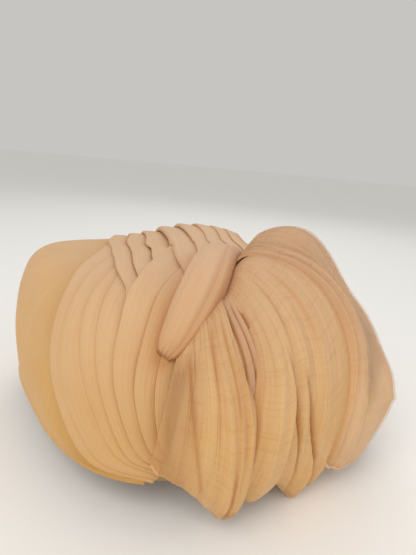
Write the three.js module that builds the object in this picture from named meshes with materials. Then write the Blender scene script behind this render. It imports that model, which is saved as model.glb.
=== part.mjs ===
// A pleated turban: a rounded satin cap wrapped in folded tulle, with a gathered pouf on its left side.
// Millimetres. +Z runs up through the crown, the wearer faces -Y and the pouf is on +X.
// The origin is the middle of the head opening.
//
// Every piece is laid out flat on the unrolled cap and then lifted off it. A place on the unrolled cap
// is x, y in millimetres from the middle of the crown, measured along the cloth, so a place further
// out than the shoulder lies on the side wall. Lift is the distance out from the satin.

import * as THREE from 'three';

// Satin cap
const CAP_HALF_WIDTH = 94;
const CAP_HALF_LENGTH = 90;
const CAP_HEIGHT = 77;
const CAP_WALL = 2;
const PROFILE_POWER = 4.9; // how square the cap is from the side, where 2 is a half ellipse
const PLAN_POWER = 3; // how square it is from above

// Tulle
const CLOTH = 1; // folded tulle, thickness
const FIRST_LIFT = 1; // between the satin and the first layer
const PANEL_PUFF = 2.5; // the plain cloth stands off the satin's corners by this much
const STEP = 1.9; // rise of each pleat over the one that it covers
const TUCK = 0.2; // share of a pleat's width that runs under the next pleat
const POUF_CLOTH = 1.2;

// The band of the unrolled cap, from the middle of the crown, where the crown turns into the wall
const SHOULDER_FROM = 58;
const SHOULDER_TO = 100;
const SHOULDER_DENSITY = 3; // stations in the shoulder for each one elsewhere

// Leading edges of the pleats on the wearer's front left, from the crown to the tail under the pouf.
// lift is where the crown end lies: the last ones pass over the ends of the first crown pleats.
// The seventh row is the tuck pleat and the last one is where that pleat ends.
const FRONT_EDGES = [
  {
    crown: [-34, -27], turn: [-2, -64], shoulder: [24, -83],
    side: [48, -113], hem: [87, -119], tail: [122, -90], lift: 1,
  },
  {
    crown: [-21, -31], turn: [6, -57], shoulder: [32, -79],
    side: [56, -106], hem: [93, -111], tail: [122, -87], lift: 1,
  },
  {
    crown: [-7, -37], turn: [15, -50], shoulder: [38, -71],
    side: [70, -93], hem: [99, -99], tail: [122, -84], lift: 1,
  },
  {
    crown: [4, -41], turn: [24, -50], shoulder: [45, -66],
    side: [74, -86], hem: [103, -94], tail: [122, -81], lift: 1,
  },
  {
    crown: [-9, -4], turn: [28, -37], shoulder: [52, -58],
    side: [78, -80], hem: [106, -88], tail: [122, -78], lift: 8.4,
  },
  {
    crown: [30, -17], turn: [44, -33], shoulder: [61, -52],
    side: [83, -73], hem: [108, -82], tail: [122, -75], lift: 8.4,
  },
  {
    crown: [46, -14], turn: [58, -32], shoulder: [70, -49],
    side: [89, -67], hem: [110, -76], tail: [122, -72], lift: 8.4,
  },
  {
    crown: [54, -12], turn: [64, -27], shoulder: [73, -42],
    side: [90, -59], hem: [110, -72], tail: [122, -70], lift: 8.4,
  },
];

// Pleats over the crown, side by side, from the hem at the back right to the front left. distance is
// from the middle of the crown to the leading edge, end how far the pleat runs past the middle, bend
// how far its last stretch swings aside, and back and front the lifts of its two ends on the crown.
const CROWN_DIRECTION = -22; // degrees from +X
const CROWN_PLEATS = [
  { distance: -41, end: 63, bend: 8, back: 2, front: 4.8 },
  { distance: -31, end: 51, bend: 4, back: 2.6, front: 4.8 },
  { distance: -21, end: 32, bend: 1, back: 4, front: 4.8 },
  { distance: -10.5, end: 60, bend: 0, back: 7, front: 12.3 },
  { distance: 1.5, end: 48, bend: -3, back: 9, front: 12.3 },
  { distance: 12, end: 36, bend: -2, back: 10, front: 12.3 },
  { distance: 19.5, end: 30, bend: 0, back: 10.2, front: 12.3 },
  { distance: 25, end: 28, bend: 0, back: 10.2, front: 12.3 },
];
const LAST_CROWN_WIDTH = 7;

// Rolled pleat that closes the crossing, from the top of the crown to its tuck at the shoulder
const ROLL = [
  { at: [24, 14], width: 20, lift: 16, height: 2.5 },
  { at: [38, -2], width: 20, lift: 16, height: 5 },
  { at: [52, -18], width: 19, lift: 16, height: 6 },
  { at: [63, -31], width: 17, lift: 15, height: 6 },
  { at: [71, -43], width: 15, lift: 11, height: 5 },
  { at: [77, -53], width: 11, lift: 6, height: 3 },
];

// Pouf. Its ribs fan out from the gather on the crown to the bottom. angle is where a rib ends, reach
// how far down, and puff, shoulder and low its lifts near the gather, at the shoulder and on the wall.
// curl is the share of its lift that the bottom edge keeps.
const POUF_PARTS = [
  {
    name: 'pouf_front',
    across: 10,
    curl: 0.3,
    ribs: [
      { gather: [78, -42], angle: -37, reach: 143, puff: 5, shoulder: 9, low: 11 },
      { gather: [77, -38], angle: -32, reach: 147, puff: 8, shoulder: 14, low: 15 },
      { gather: [75, -34], angle: -27.5, reach: 154, puff: 12, shoulder: 21, low: 21 },
      { gather: [74, -31], angle: -23, reach: 162, puff: 13, shoulder: 24, low: 24 },
      { gather: [72, -27], angle: -20, reach: 162, puff: 13, shoulder: 23, low: 23 },
      { gather: [71, -24], angle: -18.5, reach: 157, puff: 9, shoulder: 15, low: 15 },
    ],
  },
  {
    name: 'pouf_middle',
    across: 12,
    curl: 0.3,
    ribs: [
      { gather: [70, -20], angle: -17, reach: 158, puff: 9, shoulder: 15, low: 15 },
      { gather: [68, -15], angle: -13, reach: 162, puff: 14, shoulder: 24, low: 24 },
      { gather: [64, -9], angle: -6, reach: 158, puff: 15, shoulder: 22, low: 22 },
      { gather: [59, -2], angle: 3, reach: 171, puff: 18, shoulder: 23, low: 23 },
      { gather: [54, 5], angle: 12, reach: 157, puff: 18, shoulder: 18, low: 20 },
      { gather: [50, 13], angle: 24, reach: 152, puff: 15, shoulder: 11, low: 16 },
      { gather: [46, 20], angle: 36, reach: 141, puff: 9, shoulder: 6, low: 8 },
    ],
  },
  {
    name: 'pouf_veil',
    across: 12,
    curl: 0.68,
    ribs: [
      { gather: [54, -8], angle: 6, reach: 158, puff: 25, shoulder: 28, low: 27 },
      { gather: [51, -1], angle: 20, reach: 160, puff: 29, shoulder: 25.5, low: 27.5 },
      { gather: [48, 7], angle: 31, reach: 157, puff: 31.5, shoulder: 17.5, low: 29 },
      { gather: [45, 14], angle: 43, reach: 154, puff: 29, shoulder: 12, low: 24 },
      { gather: [43, 22], angle: 57, reach: 153, puff: 21, shoulder: 9, low: 13 },
      { gather: [42, 31], angle: 69, reach: 151, puff: 10, shoulder: 7, low: 7 },
    ],
  },
];
const POUF_SEAT_LIFT = 0.9; // the gather, sewn down on the satin
const POUF_EDGE_LIFT = 6; // where the cloth turns in under the bottom

const COLOURS = {
  satin: 0xa98c4c,
  panel: 0xd2a96b,
  pleat: 0xd8ae7e,
  crownPleat: 0xdcb483,
  roll: 0xdab081,
  pouf: 0xd9ad7c,
};

function radians(degrees) {
  return (degrees * Math.PI) / 180;
}

function mix(a, b, share) {
  return a + (b - a) * share;
}

// From 0 to 1 as value goes from one limit to the other, with soft ends.
function ramp(value, from, to) {
  const share = THREE.MathUtils.clamp((value - from) / (to - from), 0, 1);
  return share * share * (3 - 2 * share);
}

// The cap's profile, walked once from the middle of the crown to the rim.
// spread is the share of the plan's radius and z the height, each at a length along the cloth.
const PROFILE_STEPS = 400;
const profile = [];
function walkProfile() {
  const radius = (CAP_HALF_WIDTH + CAP_HALF_LENGTH) / 2;
  let length = 0;
  for (let i = 0; i <= PROFILE_STEPS; i += 1) {
    const turn = (i / PROFILE_STEPS) * (Math.PI / 2);
    const spread = Math.sin(turn) ** (2 / PROFILE_POWER);
    const z = CAP_HEIGHT * Math.max(Math.cos(turn), 0) ** (2 / PROFILE_POWER);
    const last = profile[i - 1];
    if (last) length += Math.hypot((spread - last.spread) * radius, z - last.z);
    profile.push({ length, spread, z });
  }
}
walkProfile();
const RIM = profile[PROFILE_STEPS].length;

function profileAt(length) {
  if (length >= RIM) return { spread: 1, z: RIM - length };
  let low = 0;
  let high = PROFILE_STEPS;
  while (high - low > 1) {
    const middle = (low + high) >> 1;
    if (profile[middle].length > length) high = middle;
    else low = middle;
  }
  const a = profile[low];
  const b = profile[high];
  const share = (length - a.length) / (b.length - a.length);
  return { spread: mix(a.spread, b.spread, share), z: mix(a.z, b.z, share) };
}

function planRadius(angle) {
  const across = Math.abs(Math.cos(angle)) / CAP_HALF_WIDTH;
  const along = Math.abs(Math.sin(angle)) / CAP_HALF_LENGTH;
  return (across ** PLAN_POWER + along ** PLAN_POWER) ** (-1 / PLAN_POWER);
}

function satinPoint(x, y) {
  const angle = Math.atan2(y, x);
  const { spread, z } = profileAt(Math.hypot(x, y));
  const radius = spread * planRadius(angle);
  return new THREE.Vector3(radius * Math.cos(angle), radius * Math.sin(angle), z);
}

// The point of space over a place on the unrolled cap, lifted off the satin.
const SLOPE_STEP = 0.5;
function capPoint(x, y, lift) {
  const alongX = satinPoint(x + SLOPE_STEP, y).sub(satinPoint(x - SLOPE_STEP, y));
  const alongY = satinPoint(x, y + SLOPE_STEP).sub(satinPoint(x, y - SLOPE_STEP));
  const normal = alongX.cross(alongY).normalize();
  return satinPoint(x, y).addScaledVector(normal, lift);
}

// A smooth curve through flat points, given as a function of the share of its length.
function flatCurve(points) {
  const curve = new THREE.CatmullRomCurve3(
    points.map(([x, y]) => new THREE.Vector3(x, y, 0)),
    false,
    'centripetal',
  );
  return (share) => curve.getPoint(share);
}

// Shares along a curve, closer together where it crosses the cap's shoulder.
const STATION_SAMPLES = 200;
function stations(curve, count) {
  const weights = [0];
  let before = curve(0);
  for (let i = 1; i <= STATION_SAMPLES; i += 1) {
    const here = curve(i / STATION_SAMPLES);
    const out = Math.hypot(here.x, here.y);
    const turning = out > SHOULDER_FROM && out < SHOULDER_TO;
    weights.push(weights[i - 1] + here.distanceTo(before) * (turning ? SHOULDER_DENSITY : 1));
    before = here;
  }
  const shares = [];
  let i = 0;
  for (let n = 0; n <= count; n += 1) {
    const wanted = (weights[STATION_SAMPLES] * n) / count;
    while (i < STATION_SAMPLES && weights[i + 1] < wanted) i += 1;
    const span = weights[Math.min(i + 1, STATION_SAMPLES)] - weights[i];
    shares.push(Math.min((i + (span > 0 ? (wanted - weights[i]) / span : 0)) / STATION_SAMPLES, 1));
  }
  return shares;
}

function bodyFrom(positions, triangles) {
  const geometry = new THREE.BufferGeometry();
  const numbers = positions.flatMap((point) => [point.x, point.y, point.z]);
  geometry.setAttribute('position', new THREE.Float32BufferAttribute(numbers, 3));
  geometry.setIndex(triangles.flat());
  let volume = 0;
  for (const [a, b, c] of triangles) {
    volume += positions[a].dot(positions[b].clone().cross(positions[c]));
  }
  if (volume < 0) geometry.setIndex(triangles.flatMap(([a, b, c]) => [a, c, b]));
  geometry.computeVertexNormals();
  return geometry;
}

// A closed sheet between two grids of points with the same rows and columns.
function sheetBetween(outer, inner) {
  const rows = outer.length;
  const columns = outer[0].length;
  const positions = [...outer.flat(), ...inner.flat()];
  const out = (i, j) => i * columns + j;
  const under = (i, j) => rows * columns + out(i, j);
  const triangles = [];
  const quad = (a, b, c, d) => triangles.push([a, b, c], [a, c, d]);
  for (let i = 0; i < rows - 1; i += 1) {
    for (let j = 0; j < columns - 1; j += 1) {
      quad(out(i, j), out(i + 1, j), out(i + 1, j + 1), out(i, j + 1));
      quad(under(i, j), under(i, j + 1), under(i + 1, j + 1), under(i + 1, j));
    }
  }
  const last = columns - 1;
  for (let i = 0; i < rows - 1; i += 1) {
    quad(out(i, 0), under(i, 0), under(i + 1, 0), out(i + 1, 0));
    quad(out(i, last), out(i + 1, last), under(i + 1, last), under(i, last));
  }
  for (let j = 0; j < last; j += 1) {
    quad(out(0, j), out(0, j + 1), under(0, j + 1), under(0, j));
    quad(out(rows - 1, j), under(rows - 1, j), under(rows - 1, j + 1), out(rows - 1, j + 1));
  }
  return bodyFrom(positions, triangles);
}

function evenShares(count) {
  return Array.from({ length: count + 1 }, (_, i) => i / count);
}

// A sheet that lies on the cap. place(across, along) gives its flat x, y and its two lifts.
function laidSheet(acrossShares, shares, place) {
  const outer = [];
  const inner = [];
  for (const a of acrossShares) {
    const spots = shares.map((share) => place(a, share));
    outer.push(spots.map(({ x, y, high }) => capPoint(x, y, high)));
    inner.push(spots.map(({ x, y, low }) => capPoint(x, y, low)));
  }
  return sheetBetween(outer, inner);
}

// A pleat from its leading edge, which lies on top, to just past the next pleat's leading edge.
const PLEAT_ACROSS = 3;
const PLEAT_ALONG = 18;
function pleatSheet(edge, nextEdge, baseLift) {
  return laidSheet(evenShares(PLEAT_ACROSS), stations(edge, PLEAT_ALONG), (a, share) => {
    const near = edge(share);
    const far = nextEdge(share);
    const reach = a * (1 + TUCK);
    const x = mix(near.x, far.x, reach);
    const y = mix(near.y, far.y, reach);
    const low = baseLift(share, Math.hypot(x, y)) + STEP * (1 + TUCK - reach);
    return { x, y, low, high: low + CLOTH };
  });
}

// The satin cap: an outer and an inner skin that meet in the rim.
const CAP_SIDES = 44;
const CAP_RINGS = [24, 46, 60, 69, 77, 85, 94, 106, 126, RIM];
function satinCap() {
  const positions = [];
  const triangles = [];
  const skins = [0, -CAP_WALL];
  const start = [];
  for (const lift of skins) {
    start.push(positions.length);
    positions.push(new THREE.Vector3(0, 0, CAP_HEIGHT + lift));
    for (const out of CAP_RINGS) {
      for (let j = 0; j < CAP_SIDES; j += 1) {
        const angle = (j / CAP_SIDES) * Math.PI * 2;
        const point = capPoint(out * Math.cos(angle), out * Math.sin(angle), lift);
        if (out === RIM) point.z = 0;
        positions.push(point);
      }
    }
  }
  const index = (skin, ring, j) => start[skin] + 1 + ring * CAP_SIDES + (j % CAP_SIDES);
  const quad = (a, b, c, d) => triangles.push([a, b, c], [a, c, d]);
  for (let j = 0; j < CAP_SIDES; j += 1) {
    triangles.push([start[0], index(0, 0, j), index(0, 0, j + 1)]);
    triangles.push([start[1], index(1, 0, j + 1), index(1, 0, j)]);
    for (let ring = 0; ring < CAP_RINGS.length - 1; ring += 1) {
      quad(index(0, ring, j), index(0, ring + 1, j), index(0, ring + 1, j + 1), index(0, ring, j + 1));
      quad(index(1, ring, j), index(1, ring, j + 1), index(1, ring + 1, j + 1), index(1, ring + 1, j));
    }
    const rim = CAP_RINGS.length - 1;
    quad(index(0, rim, j), index(1, rim, j), index(1, rim, j + 1), index(0, rim, j + 1));
  }
  return bodyFrom(positions, triangles);
}

// A line over the crown at a distance from its middle, from the hem to the given end.
const HEM = RIM - 1;
const BEND_FROM = 28;
const BEND_TO = 64;
function crownLine(distance, end, bend) {
  const ahead = new THREE.Vector3(Math.cos(radians(CROWN_DIRECTION)), Math.sin(radians(CROWN_DIRECTION)), 0);
  const aside = new THREE.Vector3(-ahead.y, ahead.x, 0);
  const start = -Math.sqrt(HEM * HEM - distance * distance);
  return (share) => {
    const run = mix(start, end, share);
    const off = distance + bend * ramp(run, BEND_FROM, BEND_TO);
    return aside.clone().multiplyScalar(off).addScaledVector(ahead, run);
  };
}

// Shares of a crown pleat's length, from the hem, where it climbs onto the crown and then to its front
const CLIMB = { from: 0.1, to: 0.45 };
const FRONT_CLIMB = { from: 0.45, to: 0.66 };
function crownPleat(number) {
  const { distance, end, bend, back, front } = CROWN_PLEATS[number];
  const following = CROWN_PLEATS[number + 1] ?? { distance: distance + LAST_CROWN_WIDTH, bend };
  const baseLift = (share) => {
    const onCrown = mix(back, front, ramp(share, FRONT_CLIMB.from, FRONT_CLIMB.to));
    return mix(FIRST_LIFT, onCrown, ramp(share, CLIMB.from, CLIMB.to));
  };
  const nextEdge = crownLine(following.distance, end, following.bend);
  return pleatSheet(crownLine(distance, end, bend), nextEdge, baseLift);
}

function frontEdge(number) {
  const { crown, turn, shoulder, side, hem, tail } = FRONT_EDGES[number];
  return flatCurve([crown, turn, shoulder, side, hem, tail]);
}

// Distances from the middle of the crown between which a raised front pleat comes down onto the cap
const DROP = { from: 70, to: 91 };
function frontPleat(number) {
  const { lift } = FRONT_EDGES[number];
  const edge = frontEdge(number);
  const baseLift = (share, out) => mix(lift, FIRST_LIFT, ramp(out, DROP.from, DROP.to));
  return pleatSheet(edge, frontEdge(number + 1), baseLift);
}

// A plain sheet between a line on the crown and the hem, whose ends are given by angle.
function panelSheet(topPoints, fromAngle, toAngle, downShares, along, puff) {
  const top = flatCurve(topPoints);
  return laidSheet(downShares, stations(top, along), (a, share) => {
    const above = top(share);
    const angle = radians(mix(fromAngle, toAngle, share));
    const x = mix(above.x, HEM * Math.cos(angle), a);
    const y = mix(above.y, HEM * Math.sin(angle), a);
    const standOff = Math.sin(Math.PI * share) ** 0.5 * Math.sin(Math.PI * Math.min(a * 1.1, 1));
    const low = FIRST_LIFT + puff * standOff;
    return { x, y, low, high: low + CLOTH };
  });
}

// The plain cloth round the front and right side. Its edge is tucked under the first pleats.
function frontPanel() {
  const crownSide = crownLine(CROWN_PLEATS[0].distance + 3, -30, 0);
  const leading = frontEdge(0);
  const next = frontEdge(1);
  const points = [0, 0.3, 0.6, 0.9].map((share) => crownSide(share)).map(({ x, y }) => [x, y]);
  for (const share of [0.12, 0.3, 0.5, 0.65, 0.8]) {
    const a = leading(share);
    const b = next(share);
    points.push([mix(a.x, b.x, TUCK), mix(a.y, b.y, TUCK)]);
  }
  return panelSheet(points, 174, 308, [0, 0.12, 0.22, 0.3, 0.38, 0.46, 0.56, 0.76, 1], 28, PANEL_PUFF);
}

// The plain cloth round the back, under the last crown pleats and the end of the pouf.
function backPanel() {
  const points = [[-104, 94], [-62, 72], [-10, 74], [36, 68]];
  return panelSheet(points, 138, 52, [0, 0.07, 0.14, 0.21, 0.3, 0.42, 0.68, 1], 22, 0);
}

// The rolled pleat, a long cushion with a round top.
const ROLL_ACROSS = 6;
const ROLL_ALONG = 14;
function rolledPleat() {
  const middle = flatCurve(ROLL.map((row) => row.at));
  const rowAt = (share, key) => {
    const place = share * (ROLL.length - 1);
    const first = Math.min(Math.floor(place), ROLL.length - 2);
    return mix(ROLL[first][key], ROLL[first + 1][key], place - first);
  };
  return laidSheet(evenShares(ROLL_ACROSS), evenShares(ROLL_ALONG), (a, share) => {
    const here = middle(share);
    const ahead = middle(Math.min(share + 0.01, 1)).sub(middle(Math.max(share - 0.01, 0))).normalize();
    const aside = (a - 0.5) * rowAt(share, 'width');
    const round = Math.sqrt(Math.max(1 - (2 * a - 1) ** 2, 0));
    const low = rowAt(share, 'lift');
    const high = low + CLOTH + rowAt(share, 'height') * round;
    return { x: here.x - ahead.y * aside, y: here.y + ahead.x * aside, low, high };
  });
}

// One part of the pouf: a thin bag that opens towards the cap and curls in at the bottom.
const POUF_ALONG = 14;
function poufPart({ across, curl, ribs }) {
  const ribAt = (share) => {
    const place = share * (ribs.length - 1);
    const first = Math.min(Math.floor(place), ribs.length - 2);
    const a = ribs[first];
    const b = ribs[first + 1];
    const between = (key) => mix(a[key], b[key], place - first);
    const gather = a.gather.map((value, k) => mix(value, b.gather[k], place - first));
    return { gather, angle: radians(between('angle')), reach: between('reach'), between };
  };
  const grid = evenShares(across).map((share) => {
    const { gather, angle, reach, between } = ribAt(share);
    const run = flatCurve([
      [0, POUF_SEAT_LIFT],
      [0.05 * reach, between('puff') * 0.75],
      [0.16 * reach, between('puff')],
      [0.38 * reach, between('shoulder')],
      [0.7 * reach, between('low')],
      [0.9 * reach, between('low') * mix(1, curl, 0.3)],
      [reach, between('low') * mix(1, curl, 0.75)],
      [0.975 * reach, Math.max(between('low') * curl, POUF_EDGE_LIFT)],
    ]);
    return evenShares(POUF_ALONG).map((way) => {
      const { x: distance, y: lift } = run(way);
      const along = distance / reach;
      const x = mix(gather[0], reach * Math.cos(angle), along);
      const y = mix(gather[1], reach * Math.sin(angle), along);
      return capPoint(x, y, lift);
    });
  });
  return thicken(grid, POUF_CLOTH);
}

// A closed sheet of even thickness about a grid of points.
function thicken(grid, thickness) {
  const rows = grid.length - 1;
  const columns = grid[0].length - 1;
  const offset = (side) => grid.map((row, i) => row.map((point, j) => {
    const down = grid[Math.min(i + 1, rows)][j].clone().sub(grid[Math.max(i - 1, 0)][j]);
    const along = grid[i][Math.min(j + 1, columns)].clone().sub(grid[i][Math.max(j - 1, 0)]);
    return point.clone().addScaledVector(down.cross(along).normalize(), (side * thickness) / 2);
  }));
  return sheetBetween(offset(1), offset(-1));
}

const group = new THREE.Group();

function add(name, geometry, colour, roughness) {
  const material = new THREE.MeshStandardMaterial({ color: colour, roughness, metalness: 0 });
  const mesh = new THREE.Mesh(geometry, material);
  mesh.name = name;
  group.add(mesh);
}

add('satin_cap', satinCap(), COLOURS.satin, 0.45);
add('front_panel', frontPanel(), COLOURS.panel, 0.8);
add('back_panel', backPanel(), COLOURS.panel, 0.8);
const TUCK_PLEAT = FRONT_EDGES.length - 2;
for (let i = 0; i <= TUCK_PLEAT; i += 1) {
  add(i < TUCK_PLEAT ? `front_pleat_${i + 1}` : 'tuck_pleat', frontPleat(i), COLOURS.pleat, 0.8);
}
CROWN_PLEATS.forEach((_, i) => add(`crown_pleat_${i + 1}`, crownPleat(i), COLOURS.crownPleat, 0.8));
add('rolled_pleat', rolledPleat(), COLOURS.roll, 0.8);
POUF_PARTS.forEach((part) => add(part.name, poufPart(part), COLOURS.pouf, 0.85));

export default group;
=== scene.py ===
# %% [markdown]
# # A pleated turban in gold-beige tulle
# The turban is ready-wrapped: folded strips of fine tulle lie round a stiff satin cap, cross on the
# crown under a rolled pleat, and are gathered there into a sheer pouf that hangs over one side.
# Every strip is laid out flat on the unrolled cap, as a milliner would pin it, and one function then
# carries a flat place and a lift off the satin into space. The lesson is that function and its uses.

# %% Load the fixed frame
import math

import bpy
import numpy as np
from mathutils import Matrix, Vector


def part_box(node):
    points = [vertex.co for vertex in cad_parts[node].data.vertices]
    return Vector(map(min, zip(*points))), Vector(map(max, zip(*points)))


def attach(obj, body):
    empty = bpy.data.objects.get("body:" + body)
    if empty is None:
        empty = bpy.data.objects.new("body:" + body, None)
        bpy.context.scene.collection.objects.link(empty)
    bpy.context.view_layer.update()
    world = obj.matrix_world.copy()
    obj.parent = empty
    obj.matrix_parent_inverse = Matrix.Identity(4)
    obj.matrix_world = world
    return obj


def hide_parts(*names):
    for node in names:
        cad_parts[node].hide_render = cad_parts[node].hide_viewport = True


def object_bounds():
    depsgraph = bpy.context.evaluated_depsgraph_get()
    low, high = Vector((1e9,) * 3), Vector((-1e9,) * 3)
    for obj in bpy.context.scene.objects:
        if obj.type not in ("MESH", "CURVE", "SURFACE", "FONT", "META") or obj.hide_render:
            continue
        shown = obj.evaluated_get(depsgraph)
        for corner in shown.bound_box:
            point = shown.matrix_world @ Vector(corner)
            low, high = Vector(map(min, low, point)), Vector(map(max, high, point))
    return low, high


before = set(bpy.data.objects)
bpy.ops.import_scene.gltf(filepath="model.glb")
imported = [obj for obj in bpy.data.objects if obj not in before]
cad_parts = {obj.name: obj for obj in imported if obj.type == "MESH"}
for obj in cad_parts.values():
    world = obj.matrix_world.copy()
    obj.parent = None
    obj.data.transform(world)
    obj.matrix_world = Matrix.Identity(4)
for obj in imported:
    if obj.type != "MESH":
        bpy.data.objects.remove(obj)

CAD_BOX = [list(corner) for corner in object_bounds()]
print("CAD box in metres:", [[round(value, 4) for value in corner] for corner in CAD_BOX])

# %% [markdown]
# The cap is a rounded box: an ellipse whose power is higher than 2, seen from above and from the side.
# Its three half sizes come from the frame, so the cloth always fits the cap that was packed. A rounded
# box could also be a cube with a bevel, but a formula gives each place on it and its normal directly.

# %% The cap's sizes, in millimetres
MM = 0.001
cap_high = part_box("satin_cap")[1]
CAP_HALF_WIDTH, CAP_HALF_LENGTH, CAP_HEIGHT = (value / MM for value in cap_high)
CAP_WALL = 2.0
PROFILE_POWER = 4.9  # how square the cap is from the side
PLAN_POWER = 3.0  # how square it is from above
print(f"cap {2 * CAP_HALF_WIDTH:.0f} x {2 * CAP_HALF_LENGTH:.0f} x {CAP_HEIGHT:.0f} mm")

# %% The cap's profile, walked from the middle of the crown to the rim
PROFILE_STEPS = 2000
profile_turn = np.linspace(0, math.pi / 2, PROFILE_STEPS + 1)
profile_spread = np.sin(profile_turn) ** (2 / PROFILE_POWER)
profile_z = CAP_HEIGHT * np.maximum(np.cos(profile_turn), 0) ** (2 / PROFILE_POWER)
mean_radius = (CAP_HALF_WIDTH + CAP_HALF_LENGTH) / 2
profile_steps = np.hypot(np.diff(profile_spread) * mean_radius, np.diff(profile_z))
profile_length = np.concatenate([[0], np.cumsum(profile_steps)])
RIM = profile_length[-1]
print(f"from the middle of the crown to the rim: {RIM:.1f} mm along the cloth")


# %% A place on the satin, from a place on the unrolled cap
def plan_radius(angle):
    across = np.abs(np.cos(angle)) / CAP_HALF_WIDTH
    along = np.abs(np.sin(angle)) / CAP_HALF_LENGTH
    return (across**PLAN_POWER + along**PLAN_POWER) ** (-1 / PLAN_POWER)


def satin_point(x, y):
    angle = np.arctan2(y, x)
    length = np.hypot(x, y)
    radius = np.interp(length, profile_length, profile_spread) * plan_radius(angle)
    z = np.where(length < RIM, np.interp(length, profile_length, profile_z), RIM - length)
    return np.stack([radius * np.cos(angle), radius * np.sin(angle), z], axis=-1)


# %% [markdown]
# Cloth lies off the satin by a lift. The direction of the lift is the surface's normal, which comes
# from the places half a millimetre to each side. It could be worked out with calculus, but neighbours
# are simpler, and exact enough for cloth.

# %% A place in space, from a place on the unrolled cap and a lift
SLOPE_STEP = 0.5


def cap_point(x, y, lift):
    along_x = satin_point(x + SLOPE_STEP, y) - satin_point(x - SLOPE_STEP, y)
    along_y = satin_point(x, y + SLOPE_STEP) - satin_point(x, y - SLOPE_STEP)
    normal = np.cross(along_x, along_y)
    normal /= np.linalg.norm(normal, axis=-1, keepdims=True)
    return satin_point(x, y) + normal * np.asarray(lift)[..., None]


top_of_crown = cap_point(np.array(0.0), np.array(0.0), np.array(5.0))
print("5 mm over the crown:", top_of_crown.round(2))


# %% Small helpers for shares and soft steps
def mix(a, b, share):
    return a + (b - a) * share


def ramp(value, start, end):
    """From 0 to 1 as value goes from start to end, with soft ends."""
    share = np.clip((value - start) / (end - start), 0, 1)
    return share * share * (3 - 2 * share)


print("a soft step at its quarter, middle and end:", ramp(np.array([0.25, 0.5, 1.0]), 0, 1))

# %% [markdown]
# Folds are drawn as smooth curves through a few flat points. The curve is a Catmull-Rom spline with
# centripetal spacing, which passes through every point and doesn't loop between close ones. It is
# written for whole arrays, so one call gives all the ribs of the pouf at once.

# %% A smooth curve through flat points
TINY = 1e-6


def smooth_curve(points, shares):
    """points is (..., n, 2). The result is (..., len(shares), 2)."""
    points = np.asarray(points, float)
    before = 2 * points[..., :1, :] - points[..., 1:2, :]
    after = 2 * points[..., -1:, :] - points[..., -2:-1, :]
    padded = np.concatenate([before, points, after], axis=-2)
    place = np.asarray(shares) * (points.shape[-2] - 1)
    first = np.minimum(place.astype(int), points.shape[-2] - 2)
    t = (place - first)[..., None]
    a, b, c, d = (padded[..., first + i, :] for i in range(4))
    gap_ab, gap_bc, gap_cd = (
        np.maximum(np.linalg.norm(q - p, axis=-1, keepdims=True), TINY) ** 0.5
        for p, q in ((a, b), (b, c), (c, d))
    )
    slope_b = ((b - a) / gap_ab - (c - a) / (gap_ab + gap_bc) + (c - b) / gap_bc) * gap_bc
    slope_c = ((c - b) / gap_bc - (d - b) / (gap_bc + gap_cd) + (d - c) / gap_cd) * gap_bc
    cubic = 2 * b - 2 * c + slope_b + slope_c
    square = -3 * b + 3 * c - 2 * slope_b - slope_c
    return ((cubic * t + square) * t + slope_b) * t + b


# %% Shares that are evenly spaced along a curve
CURVE_SAMPLES = 400


def even_shares(curve, count):
    shares = np.linspace(0, 1, CURVE_SAMPLES)
    steps = np.linalg.norm(np.diff(curve(shares), axis=0), axis=1)
    length = np.concatenate([[0], np.cumsum(steps)])
    return np.interp(np.linspace(0, length[-1], count), length, shares)


# %% [markdown]
# Real tulle is never quite smooth. A sum of a few seeded sine waves gives soft ripples that repeat
# exactly each time the script runs. Noise from a texture would do as well, but waves can be stretched
# along the cloth, which is the way that crinkled tulle is creased.

# %% Ripples, stretched along the cloth
RIPPLE_WAVES = 7


def ripples(seed, u, v, wave_u, wave_v):
    """About -1 to 1. u and v are millimetres along and across the cloth, waves their usual lengths."""
    rng = np.random.default_rng(seed)
    total = np.zeros(np.broadcast(u, v).shape)
    for _ in range(RIPPLE_WAVES):
        turns_u = rng.normal() / wave_u
        turns_v = rng.uniform(0.6, 1.5) / wave_v
        total += np.sin(2 * math.pi * (u * turns_u + v * turns_v + rng.uniform()))
    return total / RIPPLE_WAVES**0.5


print("three ripples:", ripples(1, np.arange(3.0), np.arange(3.0), 30, 4).round(2))

# %% [markdown]
# Colours are picked as sRGB hex values, as a web page gives them, but shaders calculate in linear
# light. One function turns the first into the second.


# %% Colours
def linear(hex_colour):
    channels = [int(hex_colour[i : i + 2], 16) / 255 for i in (1, 3, 5)]
    return [c / 12.92 if c <= 0.04045 else ((c + 0.055) / 1.055) ** 2.4 for c in channels] + [1.0]


print("mid tulle in linear light:", [round(value, 3) for value in linear("#E2B98C")])


# %% A node with its settings and links
def node(tree, kind, inputs=None, **settings):
    made = tree.nodes.new(kind)
    for name, value in settings.items():
        setattr(made, name, value)
    for name, value in (inputs or {}).items():
        socket = made.inputs[name]
        if isinstance(value, bpy.types.NodeSocket):
            tree.links.new(value, socket)
        else:
            socket.default_value = value
    return made


def new_material(name):
    material = bpy.data.materials.new(name)
    material.use_nodes = True
    material.node_tree.nodes.clear()
    return material, material.node_tree
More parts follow.
